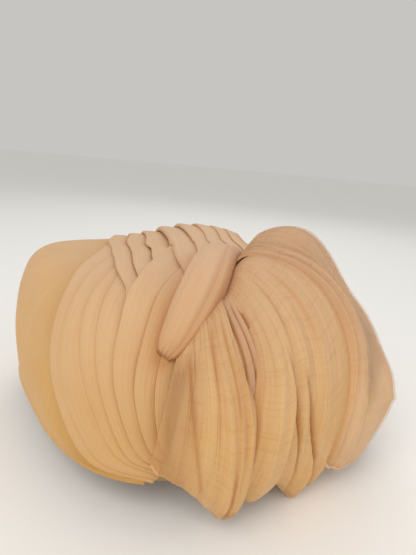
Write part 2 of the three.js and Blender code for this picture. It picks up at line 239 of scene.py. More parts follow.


# %% [markdown]
# Nylon tulle, dyed gold-beige, crinkled and pressed into folds. Light goes through it and comes out
# warmer, so where many layers lie in a fold it looks deep orange, and single layers on the outside
# look pale and pinkish. Three things carry that: the colour is mixed towards a deep orange by a value
# that the mesh holds, which is shade painted into the folds, crevices and edges; the net's threads and
# the crinkles are a bump on the cloth's own UV map; and a "sheer" value lets single layers show what
# lies behind them. A photograph of tulle could be wrapped on instead, but threads drawn by numbers
# stay sharp at any distance.

# %% Scales of the tulle's threads and crinkles, in metres
THREAD_SPACING = 0.0009  # the real net is near 0.5 mm, drawn coarser to show in the render
WAVE_PERIOD = 2 * math.pi / 20  # a wave texture at scale 1 repeats after this length
CRINKLE_SPACING = 0.0011
CRINKLE_LENGTH = 0.045
CROSS_SPACING = 0.0016  # layers of net cross into coarser lines, which show from further away
CROSS_LENGTH = 0.018
CLOUD_SIZE = 0.03
THREAD_BUMP = 0.00006
CRINKLE_BUMP = 0.00012
CRINKLE_SHADE = 0.17  # how far a crinkle goes to the deep colour
TOP_LIGHT_TINT = "#E9C5A2"  # painted light: the top is painted a pinker beige than the sides, as the light from above makes it look
TOP_LIGHT_FROM = 0.03
TOP_LIGHT_TO = 0.095
TOP_LIGHT_MOST = 0.75


# %% The tulle material
def tulle_material(name, pale, mid, deep, crinkle=1.0, cross=0.0, through=0.12):
    material, tree = new_material(name)
    cloth_uv = node(tree, "ShaderNodeUVMap", uv_map="cloth").outputs["UV"]
    place = node(tree, "ShaderNodeTexCoord").outputs["Object"]
    stretched = node(
        tree,
        "ShaderNodeMapping",
        {"Vector": cloth_uv, "Scale": (1 / CRINKLE_LENGTH, 1 / CRINKLE_SPACING, 1)},
    ).outputs["Vector"]
    crinkles = node(tree, "ShaderNodeTexNoise", {"Vector": stretched, "Scale": 1.0, "Detail": 3.0})
    scale = WAVE_PERIOD / THREAD_SPACING
    warp, weft = (
        node(
            tree,
            "ShaderNodeTexWave",
            {"Vector": cloth_uv, "Scale": scale, "Distortion": 1.2, "Detail": 1.0},
            wave_type="BANDS",
            bands_direction=direction,
        ).outputs["Fac"]
        for direction in "XY"
    )
    threads = node(tree, "ShaderNodeMath", {0: warp, 1: weft}, operation="ADD")
    clouds = node(
        tree, "ShaderNodeTexNoise", {"Vector": place, "Scale": 1 / CLOUD_SIZE, "Detail": 2.0}
    )
    # painted shade: the colour goes towards the deep orange by a value that the mesh holds for its
    # folds, crevices and edges
    painted_shade = node(tree, "ShaderNodeAttribute", attribute_name="painted_shade").outputs["Fac"]
    sheer = node(tree, "ShaderNodeAttribute", attribute_name="sheer").outputs["Fac"]
    lines = node(
        tree,
        "ShaderNodeMapRange",
        {
            "Value": crinkles.outputs["Fac"],
            "From Min": 0.3, "From Max": 0.7, "To Min": 0, "To Max": CRINKLE_SHADE,
        },
    ).outputs["Result"]
    cloudy = node(
        tree,
        "ShaderNodeMix",
        {"Factor": clouds.outputs["Fac"], 6: linear(pale), 7: linear(mid)},
        data_type="RGBA",
    ).outputs[2]
    # painted light: higher places are mixed towards the pinker beige that the light from above gives
    # the top
    height = node(tree, "ShaderNodeSeparateXYZ", {0: place}).outputs["Z"]
    top_light = node(
        tree,
        "ShaderNodeMapRange",
        {
            "Value": height,
            "From Min": TOP_LIGHT_FROM, "From Max": TOP_LIGHT_TO, "To Min": 0, "To Max": TOP_LIGHT_MOST,
        },
    ).outputs["Result"]
    top_lit = node(
        tree, "ShaderNodeMix", {"Factor": top_light, 6: cloudy, 7: linear(TOP_LIGHT_TINT)}, data_type="RGBA"
    ).outputs[2]
    across = node(
        tree,
        "ShaderNodeMapping",
        {"Vector": cloth_uv, "Scale": (1 / CROSS_SPACING, 1 / CROSS_LENGTH, 1)},
    ).outputs["Vector"]
    cross_lines = node(tree, "ShaderNodeTexNoise", {"Vector": across, "Scale": 1.0, "Detail": 2.0})
    cross_threads = node(
        tree,
        "ShaderNodeMapRange",
        {
            "Value": cross_lines.outputs["Fac"],
            "From Min": 0.5, "From Max": 0.68, "To Min": 0, "To Max": cross,
        },
    ).outputs["Result"]
    colour = top_lit
    for factor in (lines, cross_threads, painted_shade):
        colour = node(
            tree, "ShaderNodeMix", {"Factor": factor, 6: colour, 7: linear(deep)}, data_type="RGBA"
        ).outputs[2]
    thread_bump = node(
        tree,
        "ShaderNodeBump",
        {"Height": threads.outputs[0], "Distance": THREAD_BUMP, "Strength": 0.6},
    )
    cloth_bump = node(
        tree,
        "ShaderNodeBump",
        {
            "Height": crinkles.outputs["Fac"],
            "Distance": CRINKLE_BUMP * crinkle,
            "Strength": 0.8,
            "Normal": thread_bump.outputs["Normal"],
        },
    )
    alpha = node(tree, "ShaderNodeMath", {0: 1.0, 1: sheer}, operation="SUBTRACT").outputs[0]
    shader = node(
        tree,
        "ShaderNodeBsdfPrincipled",
        {
            "Base Color": colour,
            "Roughness": 0.62,
            "Normal": cloth_bump.outputs["Normal"],
            "Alpha": alpha,
            "Sheen Weight": 0.35,
            "Sheen Roughness": 0.45,
            "Sheen Tint": linear("#FFE9D2"),
            "Specular IOR Level": 0.25,
        },
    )
    glow = node(
        tree,
        "ShaderNodeBsdfTranslucent",
        {"Color": colour, "Normal": cloth_bump.outputs["Normal"]},
    )
    clear = node(tree, "ShaderNodeBsdfTransparent")
    sheer_glow = node(tree, "ShaderNodeMixShader", {0: sheer, 1: glow.outputs[0], 2: clear.outputs[0]})
    cloth = node(
        tree, "ShaderNodeMixShader", {0: through, 1: shader.outputs["BSDF"], 2: sheer_glow.outputs[0]}
    )
    node(tree, "ShaderNodeOutputMaterial", {"Surface": cloth.outputs[0]})
    return material


plain_tulle = tulle_material("plain_nylon_tulle", "#EABC76", "#E2AA56", "#C08436", crinkle=0.35)
pleated_tulle = tulle_material("pleated_nylon_tulle", "#ECC28A", "#E2AF6E", "#BC7428")
rolled_tulle = tulle_material("rolled_nylon_tulle", "#E3B076", "#D79A54", "#B4641A")
sheer_tulle = tulle_material("sheer_nylon_tulle", "#F3CD96", "#EDBA70", "#C4782A", 0.8, 0.14, 0.2)
# painted light: the net and the veil's cloth are painted paler than the sheer tulle, to make up for the
# shade that the net casts on the cloth below; the net, a single layer, is paler of itself too
net_tulle = tulle_material("single_layer_nylon_net", "#FAE4C8", "#F6D6AA", "#D89A50", 0.6, 0.2, 0.05)
veil_tulle = tulle_material("veiled_nylon_tulle", "#FADAAC", "#F5CA8C", "#CC8232", 0.8, 0.14, 0.2)
# the lining's tulle is darker and pinker; the top light is painted on it by height, as on the others
inner_tulle = tulle_material("inner_lining_tulle", "#E9BE96", "#DFAC7C", "#B8702E", 0.8, 0.1, 0.2)
print("tulle materials:", [material.name for material in bpy.data.materials])

# %% [markdown]
# The cap is covered in polyester satin. It shows at the back of the crown and under the pouf, olive
# gold and soft with wear. Satin is woven so that long floats of thread lie side by side: it is
# smoother than tulle, and has a low sheen with a grain along the floats.

# %% The satin material
SATIN_FLOAT = 0.0008


def satin_material(name, light, dark):
    material, tree = new_material(name)
    place = node(tree, "ShaderNodeTexCoord").outputs["Object"]
    weave = node(
        tree,
        "ShaderNodeTexWave",
        {"Vector": place, "Scale": WAVE_PERIOD / SATIN_FLOAT, "Distortion": 2.0},
        wave_type="BANDS",
        bands_direction="DIAGONAL",
    )
    clouds = node(
        tree, "ShaderNodeTexNoise", {"Vector": place, "Scale": 1 / CLOUD_SIZE, "Detail": 3.0}
    )
    colour = node(
        tree,
        "ShaderNodeMix",
        {"Factor": clouds.outputs["Fac"], 6: linear(light), 7: linear(dark)},
        data_type="RGBA",
    )
    bump = node(
        tree,
        "ShaderNodeBump",
        {"Height": weave.outputs["Fac"], "Distance": THREAD_BUMP, "Strength": 0.4},
    )
    shader = node(
        tree,
        "ShaderNodeBsdfPrincipled",
        {
            "Base Color": colour.outputs[2],
            "Roughness": 0.42,
            "Normal": bump.outputs["Normal"],
            "Sheen Weight": 0.2,
            "Specular IOR Level": 0.4,
        },
    )
    node(tree, "ShaderNodeOutputMaterial", {"Surface": shader.outputs["BSDF"]})
    return material


worn_satin = satin_material("worn_polyester_satin", "#B8995A", "#A08448")
print("satin material:", worn_satin.name)

# %% [markdown]
# Every sheet of cloth is a grid of points. One function makes its mesh, with the UV map in metres of
# cloth, the painted shade and sheer values, and a thin wall from a Solidify modifier, parents it to
# the root body and hides the CAD node that it stands for.

# %% An object in the scene, and the wall of a cloth
def add_object(name, data):
    made = bpy.data.objects.new(name, data)
    bpy.context.scene.collection.objects.link(made)
    return made


def add_wall(piece, thickness):
    wall = piece.modifiers.new("wall", "SOLIDIFY")
    wall.thickness = thickness * MM
    wall.offset = -1


# %% A sheet of cloth from a grid of points
CLOTH_WALL = 0.4
CAP_MIDDLE = np.array([0.0, 0.0, 20.0])


def faces_inwards(points):
    across = points[1:, :-1] - points[:-1, :-1]
    along = points[:-1, 1:] - points[:-1, :-1]
    outwards = points[:-1, :-1] - CAP_MIDDLE
    return (np.cross(across, along) * outwards).sum() < 0


def cloth_sheet(name, points, cloth, painted_shade, sheer, material, node_name):
    """points and cloth, the UV place, are in millimetres, and all arrays are rows by columns."""
    if faces_inwards(points):
        points, cloth, painted_shade, sheer = (grid[:, ::-1] for grid in (points, cloth, painted_shade, sheer))
    rows, columns = points.shape[:2]
    corner = (np.arange(rows - 1)[:, None] * columns + np.arange(columns - 1)).ravel()
    faces = np.stack([corner, corner + columns, corner + columns + 1, corner + 1], axis=1)
    mesh = bpy.data.meshes.new(name)
    mesh.from_pydata((points.reshape(-1, 3) * MM).tolist(), [], faces.tolist())
    uv_layer = mesh.uv_layers.new(name="cloth")
    uv_layer.data.foreach_set("uv", (cloth.reshape(-1, 2)[faces.ravel()] * MM).ravel())
    # the mesh holds the painted shade of its folds and the share of it that is sheer
    for key, values in (("painted_shade", painted_shade), ("sheer", sheer)):
        attribute = mesh.attributes.new(key, "FLOAT", "POINT")
        attribute.data.foreach_set("value", np.clip(values, 0, 1).ravel())
    mesh.shade_smooth()
    mesh.materials.append(material)
    piece = add_object(name, mesh)
    add_wall(piece, CLOTH_WALL)
    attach(piece, "root")
    if node_name:
        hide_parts(node_name)
    return piece


# %% [markdown]
# The satin cap follows one rule, the rounded box, so Geometry Nodes make it: a flat grid is bent into
# the cap by the same formula as above, in nodes. Its sizes are named inputs, so the tree could make
# any cap. The seam and the pole are merged before the wall is added.

# %% The start and the end of a node tree that makes geometry
def geometry_tree(name, **inputs):
    """inputs gives, for each kind of value, the names of the sockets that take it."""
    tree = bpy.data.node_groups.new(name, "GeometryNodeTree")
    for kind, names in inputs.items():
        for socket in names:
            tree.interface.new_socket(socket, in_out="INPUT", socket_type="NodeSocket" + kind)
    tree.interface.new_socket("Geometry", in_out="OUTPUT", socket_type="NodeSocketGeometry")
    return tree, node(tree, "NodeGroupInput").outputs


def finish_tree(tree, geometry, material):
    smooth = node(tree, "GeometryNodeSetShadeSmooth", {"Geometry": geometry})
    real = node(tree, "GeometryNodeRealizeInstances", {"Geometry": smooth.outputs[0]})
    inputs = {"Geometry": real.outputs[0], "Material": material}
    finished = node(tree, "GeometryNodeSetMaterial", inputs)
    node(tree, "NodeGroupOutput", {"Geometry": finished.outputs[0]})
    return tree


# %% The cap's node tree
CAP_SIZES = {
    "Half width": CAP_HALF_WIDTH * MM,
    "Half length": CAP_HALF_LENGTH * MM,
    "Height": CAP_HEIGHT * MM,
    "Profile power": PROFILE_POWER,
    "Plan power": PLAN_POWER,
}
CAP_GRID = {"Rings": 72, "Sides": 160}
SEAM_GAP = 0.01  # points nearer than this are merged
CAP_FORMULA = [
    # result, operation, values; a name stands for a socket or for the result of a row above
    ("turn share", "ADD", "X", 0.5),
    ("turn", "MULTIPLY", "turn share", math.pi / 2),
    ("around share", "ADD", "Y", 0.5),
    ("around", "MULTIPLY", "around share", 2 * math.pi),
    ("flatten", "DIVIDE", 2.0, "Profile power"),
    ("any sine", "SINE", "turn"),
    ("sine", "MAXIMUM", "any sine", 0.0),
    ("any cosine", "COSINE", "turn"),
    ("cosine", "MAXIMUM", "any cosine", 0.0),
    ("spread", "POWER", "sine", "flatten"),
    ("height share", "POWER", "cosine", "flatten"),
    ("up", "MULTIPLY", "height share", "Height"),
    ("sideways", "COSINE", "around"),
    ("side size", "ABSOLUTE", "sideways"),
    ("side share", "DIVIDE", "side size", "Half width"),
    ("side power", "POWER", "side share", "Plan power"),
    ("lengthways", "SINE", "around"),
    ("long size", "ABSOLUTE", "lengthways"),
    ("long share", "DIVIDE", "long size", "Half length"),
    ("long power", "POWER", "long share", "Plan power"),
    ("total", "ADD", "side power", "long power"),
    ("root", "DIVIDE", -1.0, "Plan power"),
    ("plan", "POWER", "total", "root"),
    ("radius", "MULTIPLY", "plan", "spread"),
    ("across", "MULTIPLY", "radius", "sideways"),
    ("along", "MULTIPLY", "radius", "lengthways"),
]


def cap_tree(material):
    tree, sizes = geometry_tree("rounded_cap", Float=CAP_SIZES, Int=CAP_GRID)
    grid = node(
        tree,
        "GeometryNodeMeshGrid",
        {"Size X": 1.0, "Size Y": 1.0, "Vertices X": sizes["Rings"], "Vertices Y": sizes["Sides"]},
    )
    place = node(tree, "GeometryNodeInputPosition").outputs[0]
    shares = node(tree, "ShaderNodeSeparateXYZ", {0: place}).outputs
    found = {"X": shares["X"], "Y": shares["Y"], **{name: sizes[name] for name in CAP_SIZES}}
    for result, operation, *values in CAP_FORMULA:
        inputs = {slot: found.get(value, value) for slot, value in enumerate(values)}
        found[result] = node(tree, "ShaderNodeMath", inputs, operation=operation).outputs[0]
    bent = node(
        tree,
        "ShaderNodeCombineXYZ",
        {"X": found["across"], "Y": found["along"], "Z": found["up"]},
    )
    cap = node(
        tree, "GeometryNodeSetPosition", {"Geometry": grid.outputs["Mesh"], "Position": bent.outputs[0]}
    )
    inputs = {"Geometry": cap.outputs[0], "Distance": SEAM_GAP * MM}
    closed = node(tree, "GeometryNodeMergeByDistance", inputs)
    return finish_tree(tree, closed.outputs[0], material)


# %% A plain mesh from a node tree
def from_nodes(name, tree, values, start_mesh=None):
    start = add_object(name + "_start", start_mesh or bpy.data.meshes.new(name + "_start"))
    modifier = start.modifiers.new(name, "NODES")
    modifier.node_group = tree
    for socket in tree.interface.items_tree:
        if socket.in_out == "INPUT" and socket.name in values:
            modifier[socket.identifier] = values[socket.name]
    evaluated = start.evaluated_get(bpy.context.evaluated_depsgraph_get())
    mesh = bpy.data.meshes.new_from_object(evaluated)
    mesh.name = name
    bpy.data.objects.remove(start)
    piece = add_object(name, mesh)
    print(f"{name}: {len(mesh.vertices)} vertices from nodes")
    return piece


# %% The satin cap
satin_cap = from_nodes("satin_cap_lining", cap_tree(worn_satin), {**CAP_SIZES, **CAP_GRID})
cap_mesh = satin_cap.data
if sum(polygon.normal.z * polygon.area for polygon in cap_mesh.polygons) < 0:
    cap_mesh.flip_normals()
add_wall(satin_cap, CAP_WALL)
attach(satin_cap, "root")
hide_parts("satin_cap")

# %% [markdown]
# A hem is turned under the rim, so that no raw edge shows. On the grid of a sheet it is a few extra
# columns past the rim: down, round under the wall's edge and up inside. Their places are given as a
# length past the rim and a lift, and the function below adds them to any sheet that ends at the rim.

# %% The hem's turn under the rim
HEM_TURN = np.array(
    [[0.2, 2.0], [1.0, 1.5], [1.6, 0.2], [1.5, -1.4], [0.6, -2.6], [-3.0, -2.8], [-8.0, -2.8]]
)


def with_hem(flat, lift):
    """flat is rows by columns by x and y, and its last column lies near the rim."""
    edge = flat[:, -1]
    outwards = edge / np.linalg.norm(edge, axis=-1, keepdims=True)
    lengths = RIM + HEM_TURN[:, 0]
    turned = outwards[:, None, :] * lengths[None, :, None]
    turned_lift = np.broadcast_to(HEM_TURN[:, 1], (len(flat), len(HEM_TURN)))
    return np.concatenate([flat, turned], axis=1), np.concatenate([lift, turned_lift], axis=1)


# %% Cloth places of a grid, measured along its rows and columns
def cloth_places(points):
    steps_along = np.linalg.norm(np.diff(points, axis=1), axis=-1).mean(axis=0)
    steps_across = np.linalg.norm(np.diff(points, axis=0), axis=-1).mean(axis=1)
    along = np.concatenate([[0], np.cumsum(steps_along)])
    across = np.concatenate([[0], np.cumsum(steps_across)])
    return np.stack(np.broadcast_arrays(along[None, :], across[:, None]), axis=-1)


# %% [markdown]
# The pleats on the front left are folds of tulle that lie over one another like roof tiles. The
# table gives each leading edge, from the crown to its tail under the pouf, on the unrolled cap. Two
# edges side by side bound a pleat, so the same rows shape both neighbours and no gap can open.

# %% Leading edges of the front pleats
FRONT_EDGES = [
    # crown, turn, shoulder, side, hem and tail, then the lift of the crown end
    ([(-38, -22), (-2, -64), (24, -83), (48, -113), (87, -119), (122, -90)], 1.0),
    ([(-25, -25), (6, -57), (32, -79), (56, -106), (93, -111), (122, -87)], 1.0),
    ([(-12, -31), (15, -50), (38, -71), (70, -93), (99, -99), (122, -84)], 1.0),
    ([(-1, -37), (24, -50), (45, -66), (74, -86), (103, -94), (122, -81)], 1.0),
    ([(-9, -4), (28, -37), (52, -58), (78, -80), (106, -88), (122, -78)], 4.2),
    ([(30, -17), (44, -33), (61, -52), (83, -73), (108, -82), (122, -75)], 4.2),
    ([(46, -14), (58, -32), (70, -49), (89, -67), (110, -76), (122, -72)], 4.2),
    ([(54, -12), (64, -27), (73, -42), (90, -59), (110, -72), (122, -70)], 4.2),
]


def front_edge(number):
    points = FRONT_EDGES[number][0]
    return lambda shares: smooth_curve(points, shares)


print("front pleats:", len(FRONT_EDGES) - 1)

# %% Sizes of a pleat's section
CLOTH = 0.6  # a folded strip, thickness
LEAST_LIFT = 0.4
FIRST_LIFT = 1.0
STEP = 1.1  # rise of each pleat over its neighbour
TUCK = 0.2  # share of a pleat's width that runs under the next one
FOLD_RADIUS = 0.42
FOLD_RETURN = 4.0  # how far the turned edge runs back under the pleat
RETURN_SHARE = 0.6  # and the share of a narrow pleat's width that it may take
RETURN_PLACES = [1, 0.65, 0.3]
PLEAT_ROUND = 0.35
CRINKLE_HEIGHT = 0.035
CRINKLE_WAVES = (90, 2.6)
EDGE_WANDER = 0.15
WANDER_WAVE = 60
FOLD_SHADE_WIDTH = 1.2
FOLD_SHADE_DEPTH = 0.5
PLEAT_ALONG = 130
FOLD_SIDES = 7
PLEAT_ACROSS = 26


# %% A pleat between two edges
def small_fold(shares):
    return FOLD_RADIUS + 0 * shares


def pleat(
    name, edge, next_edge, base_lift, seed, node_name, step=STEP, fold_size=small_fold, tuck=TUCK
):
    shares = even_shares(edge, PLEAT_ALONG)
    near, far = edge(shares), next_edge(shares)
    width = np.maximum(np.linalg.norm(far - near, axis=-1), TINY)
    inwards = (far - near) / width[:, None]
    along = np.concatenate([[0], np.cumsum(np.linalg.norm(np.diff(near, axis=0), axis=-1))])
    wander = EDGE_WANDER * ripples(seed, along, 0 * along, WANDER_WAVE, WANDER_WAVE)
    near = near + inwards * wander[:, None]
    fold = np.linspace(-math.pi / 2, math.pi / 2, FOLD_SIDES)
    flat_reach = np.linspace(0, 1 + tuck, PLEAT_ACROSS)[1:]
    fold_room = np.minimum(FOLD_RETURN, width * RETURN_SHARE)
    fold_radius = fold_size(shares)[None, :]
    distances = np.concatenate(
        [
            np.array(RETURN_PLACES)[:, None] * fold_room,
            fold_radius * (1 - np.cos(fold))[:, None],
            fold_radius + flat_reach[:, None] * (width - fold_radius / 2),
        ]
    )
    under = np.full(len(RETURN_PLACES), 2.0)
    dips = np.concatenate([under, 1 - np.sin(fold), np.zeros(len(flat_reach))])
    dip = fold_radius * dips[:, None]
    face = dip == 0
    reach = np.clip(distances / width, 0, 1 + tuck)
    x = near[:, 0] + inwards[:, 0] * distances
    y = near[:, 1] + inwards[:, 1] * distances
    rise = step * np.maximum(1 + TUCK - reach, 0)
    top = base_lift(shares[None, :], np.hypot(x, y)) + rise + CLOTH
    swell = PLEAT_ROUND * np.sin(math.pi * np.clip(reach, 0, 1)) * face
    fine = CRINKLE_HEIGHT * ripples(seed + 100, along[None, :], distances, *CRINKLE_WAVES) * face
    lift = np.maximum(top - dip + swell + fine, LEAST_LIFT)
    # painted shade: darker where the pleat runs under the next one's edge and on its turned-under
    # return, and deeper orange beside the roll as painted bounce light
    painted_shade = np.exp(-np.maximum(width * (1 - reach), 0) / FOLD_SHADE_WIDTH) * face * step
    painted_shade = FOLD_SHADE_DEPTH * np.maximum(painted_shade, dip > fold_radius)
    painted_shade = np.maximum(painted_shade, roll_shade(x, y))
    points = cap_point(x, y, lift)
    return cloth_sheet(
        name, points, cloth_places(points), painted_shade, 0 * painted_shade, pleated_tulle,
        node_name,
    )


# %% [markdown]
# The rolled pleat closes the crossing. It is a strip with both long edges turned under, so its
# section is an arch. The table gives the middle of the strip, its width, where its edges lie and how
# high it arches. Light bounces about beside it, so the pleats round it look a little more orange; that
# light is painted into their colour as a deeper orange, and roll_shade says how much, from the
# distance to the roll's edge.

# %% The roll's table
ROLL = np.array(
    [
        # x, y, width, lift of the edges, height of the arch
        [24, 14, 17, 7.0, 0.8],
        [38, -2, 20, 10.5, 5],
        [52, -18, 20, 10, 7],
        [63, -31, 18, 8.5, 8],
        [70, -42, 15, 6, 7],
        [75, -51, 11, 3, 5],
        [77, -56, 6, 1, 1],
    ]
)
ROLL_GLOW = 5.0  # how far the light carries, in millimetres
GLOW_DEPTH = 0.55
GLOW_FROM = (0.25, 1)  # shares of the roll's length that throw it
FAR_OFF = 1000.0


def smooth_columns(rows, shares):
    """Each column of a table as a smooth curve from its first row to its last."""
    rows = np.asarray(rows, float)
    places = np.arange(len(rows))
    return [
        smooth_curve(np.stack([places, column], axis=-1), shares)[..., 1] for column in rows.T
    ]


def roll_rows(shares):
    return smooth_curve(ROLL[:, :2], shares), *smooth_columns(ROLL[:, 2:], shares)


def roll_shade(x, y):
    middle, width, _, _ = roll_rows(np.linspace(*GLOW_FROM, 40))
    gap = np.full(np.shape(x), FAR_OFF)
    for (across, along), wide in zip(middle, width):
        gap = np.minimum(gap, np.hypot(x - across, y - along) - wide / 2)
    return GLOW_DEPTH * np.exp(-np.maximum(gap, 0) / ROLL_GLOW)


print("beside the roll's end:", roll_shade(np.array([77.0]), np.array([-60.0])).round(2))

# %% The front pleats
FRONT_STEPS = [0.4, 0.45, 0.55, 0.75, 1.0, 1.0, 1.0]  # the pleats lie flatter towards the front
DROP = (70, 91)  # distances from the middle of the crown where a raised pleat comes down
LAST_TUCK = 1.4  # the last one runs well under the roll


def front_base(lift):
    return lambda share, out: mix(lift, FIRST_LIFT, ramp(out, *DROP))


for number in range(len(FRONT_EDGES) - 1):
    last = number == len(FRONT_EDGES) - 2
    node_name = "tuck_pleat" if last else f"front_pleat_{number + 1}"
    pleat(
        node_name + "_cloth",
        front_edge(number),
        front_edge(number + 1),
        front_base(FRONT_EDGES[number][1]),
        10 + number,
        node_name,
        step=FRONT_STEPS[number],
        tuck=LAST_TUCK if last else TUCK,
    )

# %% [markdown]
# The crown pleats run side by side from the hem at the back right, up over the crown and down
# towards the front left, where the last front pleats cover their ends. They are straight on the
# unrolled cap, so a distance from the middle of the crown places each one.

# %% The crown pleats' table
CROWN_DIRECTION = math.radians(-22)
CROWN_RUNS = (-10, 12, 36, 60)  # places along a pleat, from the middle of the crown
CROWN_PLEATS = [
    # distances from the middle, at the hem and at the four places, then the end of the pleat and
    # its lifts at the back and at the front
    [(-41, -41, -44.3, -41.2, -34), 66, 2.4, 2.2],
    [(-31, -31, -33.6, -31.2, -27), 54, 3.4, 2.6],
    [(-21, -20.6, -21.8, -20.6, -19), 38, 5.0, 3.6],
    [(-9, -8.3, -8.8, -10, -10), 60, 8.4, 7.5],
    [(4, 5, 4, 0, -3), 48, 10.8, 7.5],
    [(15, 15.5, 12.7, 9.8, 8), 36, 11.8, 7.6],
    [(25, 26, 22.5, 17, 15), 30, 11.8, 7.6],
    [(33, 34, 29, 24, 22), 28, 11.2, 7.6],
    [(41, 41, 36, 31, 29), 28, 10.2, 7.5],
]
HEM = RIM - 1
# shares of a pleat's length between which it climbs onto the crown, over the front, crosses the
# front pleats and comes to its end
CLIMB = (0.1, 0.45)
FRONT_CLIMB = (0.42, 0.92)
UNDER_CROSSING = 4.2  # the front pleats' lift where the crown pleats lie on them
CROSSING = (0.72, 0.82)
END = (0.93, 1)
END_DROP = 6.0  # the last pleats' ends dip under the pouf
ENDS_SEEN = 6
ahead = np.array([math.cos(CROWN_DIRECTION), math.sin(CROWN_DIRECTION)])
aside = np.array([-ahead[1], ahead[0]])


def crown_line(distances, end):
    start = -math.sqrt(HEM**2 - distances[0] ** 2)
    runs = np.array([start, *CROWN_RUNS])
    drawn = smooth_curve(np.stack([runs, distances], axis=-1), np.linspace(0, 1, 200))

    def line(shares):
        run = mix(start, end, np.asarray(shares))
        off = np.interp(run, drawn[:, 0], drawn[:, 1])
        return off[..., None] * aside + run[..., None] * ahead

    return line


def crown_base(back, front, end_drop=0.0):
    def base(share, out):
        on_crown = mix(back, front, ramp(share, *FRONT_CLIMB)) - end_drop * ramp(share, *END)
        return mix(FIRST_LIFT, on_crown, ramp(share, *CLIMB))

    return base


# %% The crown pleats, whose folds reach down to the pleat below
def crown_fold(own, below):
    def size(shares):
        height = own(shares, 0) - np.maximum(
            below(shares, 0), mix(0, UNDER_CROSSING, ramp(shares, *CROSSING))
        )
        return np.maximum(height + STEP, 2 * FOLD_RADIUS) / 2

    return size


below = crown_base(FIRST_LIFT, FIRST_LIFT)
for number, (distances, end, back, front) in enumerate(CROWN_PLEATS[:-1]):
    own = crown_base(back, front, END_DROP if number >= ENDS_SEEN else 0.0)
    pleat(
        f"crown_pleat_{number + 1}_cloth",
        crown_line(distances, end),
        crown_line(CROWN_PLEATS[number + 1][0], end),
        own,
        40 + number,
        f"crown_pleat_{number + 1}",
        fold_size=crown_fold(own, below),
    )
    below = own

# %% [markdown]
# Plain cloth covers the front and the back. It is stretched from under the first pleats down to the
# rim and turned under it, so its grid runs from a line on the crown to the hem.


# %% Where the panels stand off the cap's rounded shoulder
SHOULDER = 80.0
SHOULDER_WIDTH = 10.0
SHOULDER_PUFF = 4.0
VALLEY_WIDTH = 12.0  # painted shade on the cloth where it goes under the pleats
VALLEY_SHADE = 0.3
PANEL_SHADE = 0.05
PANEL_DOWN = 70  # points from its top line to the hem
PANEL_RIPPLE = 0.25
print("from the crown's middle to the shoulder:", SHOULDER, "mm")


# %% A plain panel
def panel(name, top_line, angles, along, puff, seed, node_name):
    shares = even_shares(top_line, along)
    above = top_line(shares)
    angle = np.radians(np.interp(shares, np.linspace(0, 1, len(angles)), angles))
    below = HEM * np.stack([np.cos(angle), np.sin(angle)], axis=-1)
    down = np.linspace(0, 1, PANEL_DOWN)
    flat = mix(above[:, None], below[:, None], down[None, :, None])
    bulge = np.sin(math.pi * np.minimum(1.05 * down**1.6, 1))
    stand_off = np.sin(math.pi * shares)[:, None] ** 0.5 * bulge
    soft = PANEL_RIPPLE * ripples(seed, flat[..., 0], flat[..., 1], 50, 40)
    shoulder = np.exp(-(((np.hypot(*np.moveaxis(flat, -1, 0)) - SHOULDER) / SHOULDER_WIDTH) ** 2))
    shoulder = shoulder * np.sin(math.pi * shares)[:, None] * ramp(down, 0.03, 0.35)
    lift = FIRST_LIFT + CLOTH + puff * stand_off + (puff > 0) * SHOULDER_PUFF * shoulder
    lift = lift + soft * np.sin(math.pi * down)
    flat, lift = with_hem(flat, lift)
    points = cap_point(flat[..., 0], flat[..., 1], lift)
    # painted shade: a little all over the panel, and more near its top line where it goes under the
    # pleats
    from_top = np.linalg.norm(flat - flat[:, :1], axis=-1)
    painted_shade = PANEL_SHADE + VALLEY_SHADE * np.exp(-((from_top / VALLEY_WIDTH) ** 2))
    return cloth_sheet(
        name, points, cloth_places(points), painted_shade, 0 * painted_shade, plain_tulle,
        node_name,
    )


# %% The front panel, whose edge is tucked under the first crown pleat and the first front pleat
PANEL_PUFF = 1.6
crown_side = crown_line([-34] * 5, -30)(np.array([0, 0.3, 0.6, 0.85]))
edge_places = np.array([0.0, 0.1, 0.2, 0.3, 0.5, 0.65, 0.8, 0.97])
under_pleats = mix(front_edge(0)(edge_places), front_edge(1)(edge_places), 0.4)
front_top = np.concatenate([crown_side, under_pleats])
panel(
    "front_panel_cloth", lambda shares: smooth_curve(front_top, shares), [174, 322], 190, PANEL_PUFF,
    70, "front_panel",
)

# %% The back panel
BACK_TOP = [(-118, 84), (-90, 78), (-60, 72), (-10, 74), (36, 68)]
panel(
    "back_panel_cloth", lambda shares: smooth_curve(BACK_TOP, shares), [146, 52], 120, 0, 71,
    "back_panel",
)

# %% The rolled pleat
ROLL_TURN = np.radians(24)  # how far its edges are turned under
ROLL_SIDES = 34
ROLL_ALONG = 90
ROLL_LENGTH = 110.0
ROLL_LINE = 0.6  # depth of the line along its top, and its place and width in radians
LINE_PLACE = 0.45
LINE_WIDTH = 0.12
PUCKERS = 14  # waves across its drawn-in end
PUCKER_HEIGHT = 0.8


